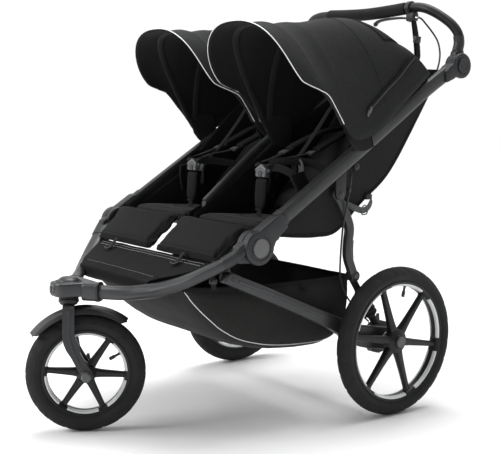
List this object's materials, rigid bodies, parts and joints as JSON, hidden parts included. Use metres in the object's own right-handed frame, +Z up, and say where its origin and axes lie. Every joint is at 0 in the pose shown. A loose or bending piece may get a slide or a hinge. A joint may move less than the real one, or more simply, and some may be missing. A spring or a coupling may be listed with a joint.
{
  "type": "jogging_stroller",
  "caption": "Side-by-side two-seat jogging stroller: three air-tyred wheels, swivelling front caster, folding tubular frame, two canopies, harnesses, basket and tilting handlebar.",
  "frame": {"origin": "on the floor under the middle of the stroller", "axes": "+Z up, front wheel toward -Y, handlebar toward +Y, +X to the seated child's left"},
  "size_m": [0.757, 1.1289, 1.105],
  "materials": {
    "frame_metal": "satin, powder coated dark grey",
    "black_plastic": "satin",
    "grey_plastic": "satin",
    "tyre_rubber": "matte",
    "boot_rubber": "matte",
    "grip_foam": "matte foam",
    "seat_cloth": "woven",
    "canopy_cloth": "woven",
    "steel": "satin"
  },
  "bodies": {
    "chassis": {"head_block": "frame_metal", "front_frame_left": "frame_metal", "front_frame_right": "frame_metal", "footrest": "seat_cloth", "seat_front_tube": "frame_metal", "calf_pad_left": "seat_cloth", "calf_pad_right": "seat_cloth", "basket": "seat_cloth"},
    "upper": {"hinge_cap_left": "grey_plastic", "hinge_cap_right": "grey_plastic", "upper_frame_left": "frame_metal", "upper_frame_right": "frame_metal", "centre_beam": "frame_metal", "top_cross_bar": "frame_metal", "seat_base_left": "seat_cloth", "seat_base_right": "seat_cloth", "crotch_pad_left": "seat_cloth", "crotch_pad_right": "seat_cloth", "buckle_left": "grey_plastic", "buckle_right": "grey_plastic", "canopy_rear_left": "canopy_cloth", "canopy_rear_right": "canopy_cloth"},
    "arms": {"lower_bar_left": "frame_metal", "lower_bar_right": "frame_metal", "rear_axle_tube": "frame_metal", "brake_drum_left": "black_plastic", "brake_drum_right": "black_plastic", "suspension_strut_left": "boot_rubber", "suspension_strut_right": "boot_rubber"},
    "legs": {"rear_leg_left": "frame_metal", "rear_leg_right": "frame_metal", "brake_cable_rear": "black_plastic"},
    "caster": {"fork": "black_plastic", "steering_bearing": "steel", "fender": "black_plastic", "front_axle": "grey_plastic"},
    "front_wheel_body": {"front_wheel": "black_plastic", "front_tyre": "tyre_rubber"},
    "lock_knob": {"swivel_lock": "grey_plastic"},
    "rear_wheel_body_left": {"rear_wheel_left": "black_plastic", "rear_tyre_left": "tyre_rubber"},
    "rear_wheel_body_right": {"rear_wheel_right": "black_plastic", "rear_tyre_right": "tyre_rubber"},
    "release_left": {"wheel_release_left": "grey_plastic"},
    "release_right": {"wheel_release_right": "grey_plastic"},
    "pedal": {"brake_pedal": "black_plastic"},
    "handle": {"handlebar": "black_plastic", "handle_grip": "grip_foam", "brake_perch": "black_plastic", "wrist_strap": "seat_cloth", "brake_cable": "black_plastic"},
    "lever": {"brake_lever": "grey_plastic"},
    "tilt_button_left": {"handle_button_left": "grey_plastic"},
    "tilt_button_right": {"handle_button_right": "grey_plastic"},
    "back_left": {"seat_back_left": "seat_cloth"},
    "back_right": {"seat_back_right": "seat_cloth"},
    "hood_left": {"canopy_left": "canopy_cloth"},
    "hood_right": {"canopy_right": "canopy_cloth"},
    "buckle_button_body_left": {"buckle_button_left": "black_plastic"},
    "buckle_button_body_right": {"buckle_button_right": "black_plastic"}
  },
  "joints": [
    {"name": "fold", "type": "hinge", "parent": "chassis", "child": "upper", "pos_m": [0, -0.1465, 0.4746], "axis": [1, 0, 0], "range_deg": [-108, 0], "deforming": ["basket", "brake_cable_rear"]},
    {"name": "arm_swing", "type": "hinge", "parent": "chassis", "child": "arms", "pos_m": [0, -0.205, 0.402], "axis": [1, 0, 0], "range_deg": [-95.1, 0]},
    {"name": "leg_pivot", "type": "hinge", "parent": "upper", "child": "legs", "pos_m": [0, 0.114, 0.591], "axis": [1, 0, 0], "range_deg": [0, 48.7]},
    {"name": "front_swivel", "type": "hinge", "parent": "chassis", "child": "caster", "pos_m": [0, -0.467, 0.33], "axis": [0, 0, 1], "continuous": true},
    {"name": "front_wheel_spin", "type": "hinge", "parent": "caster", "child": "front_wheel_body", "pos_m": [0.01884, -0.43058, 0.1474], "axis": [0.8882, -0.4594, 0], "continuous": true},
    {"name": "swivel_lock_turn", "type": "hinge", "parent": "chassis", "child": "lock_knob", "pos_m": [0, -0.509, 0.36], "axis": [0, 1, 0], "range_deg": [0, 90]},
    {"name": "rear_wheel_spin_left", "type": "hinge", "parent": "arms", "child": "rear_wheel_body_left", "pos_m": [0.3515, 0.304, 0.197], "axis": [1, 0, 0], "continuous": true},
    {"name": "rear_wheel_spin_right", "type": "hinge", "parent": "arms", "child": "rear_wheel_body_right", "pos_m": [-0.3515, 0.304, 0.197], "axis": [1, 0, 0], "continuous": true},
    {"name": "wheel_release_press_left", "type": "slide", "parent": "rear_wheel_body_left", "child": "release_left", "axis": [-1, 0, 0], "range_m": [0, 0.0015], "stiffness_N_per_m": 400},
    {"name": "wheel_release_press_right", "type": "slide", "parent": "rear_wheel_body_right", "child": "release_right", "axis": [1, 0, 0], "range_m": [0, 0.0015], "stiffness_N_per_m": 400},
    {"name": "brake_pedal_turn", "type": "hinge", "parent": "arms", "child": "pedal", "pos_m": [0.078, 0.304, 0.197], "axis": [1, 0, 0], "range_deg": [-25, 0]},
    {"name": "handle_tilt", "type": "hinge", "parent": "upper", "child": "handle", "pos_m": [0, 0.531, 0.923], "axis": [1, 0, 0], "range_deg": [-110, 5]},
    {"name": "brake_lever_pull", "type": "hinge", "parent": "handle", "child": "lever", "pos_m": [0.172, 0.503, 1.056], "axis": [0, 1, 0], "range_deg": [0, 2.5], "stiffness_Nm_per_rad": 0.5},
    {"name": "tilt_button_press_left", "type": "slide", "parent": "upper", "child": "tilt_button_left", "axis": [-1, 0, 0], "range_m": [0, 0.002], "stiffness_N_per_m": 400},
    {"name": "tilt_button_press_right", "type": "slide", "parent": "upper", "child": "tilt_button_right", "axis": [1, 0, 0], "range_m": [0, 0.002], "stiffness_N_per_m": 400},
    {"name": "recline_left", "type": "hinge", "parent": "upper", "child": "back_left", "pos_m": [0.159, 0.128, 0.52], "axis": [1, 0, 0], "range_deg": [-22, 0]},
    {"name": "recline_right", "type": "hinge", "parent": "upper", "child": "back_right", "pos_m": [-0.159, 0.128, 0.52], "axis": [1, 0, 0], "range_deg": [-22, 0]},
    {"name": "canopy_fold_left", "type": "hinge", "parent": "upper", "child": "hood_left", "pos_m": [0.1825, 0.149, 0.733], "axis": [1, 0, 0], "range_deg": [-55, 0], "deforming": ["canopy_rear_left"]},
    {"name": "canopy_fold_right", "type": "hinge", "parent": "upper", "child": "hood_right", "pos_m": [-0.1825, 0.149, 0.733], "axis": [1, 0, 0], "range_deg": [-55, 0], "deforming": ["canopy_rear_right"]},
    {"name": "buckle_press_left", "type": "slide", "parent": "upper", "child": "buckle_button_body_left", "axis": [0, 0.9976, -0.0698], "range_m": [0, 0.002], "stiffness_N_per_m": 200},
    {"name": "buckle_press_right", "type": "slide", "parent": "upper", "child": "buckle_button_body_right", "axis": [0, 0.9976, -0.0698], "range_m": [0, 0.002], "stiffness_N_per_m": 200}
  ],
  "couplings": [
    {"joint": "arm_swing", "follows": "fold", "ratio": 0.88},
    {"joint": "leg_pivot", "follows": "fold", "ratio": -0.45}
  ]
}
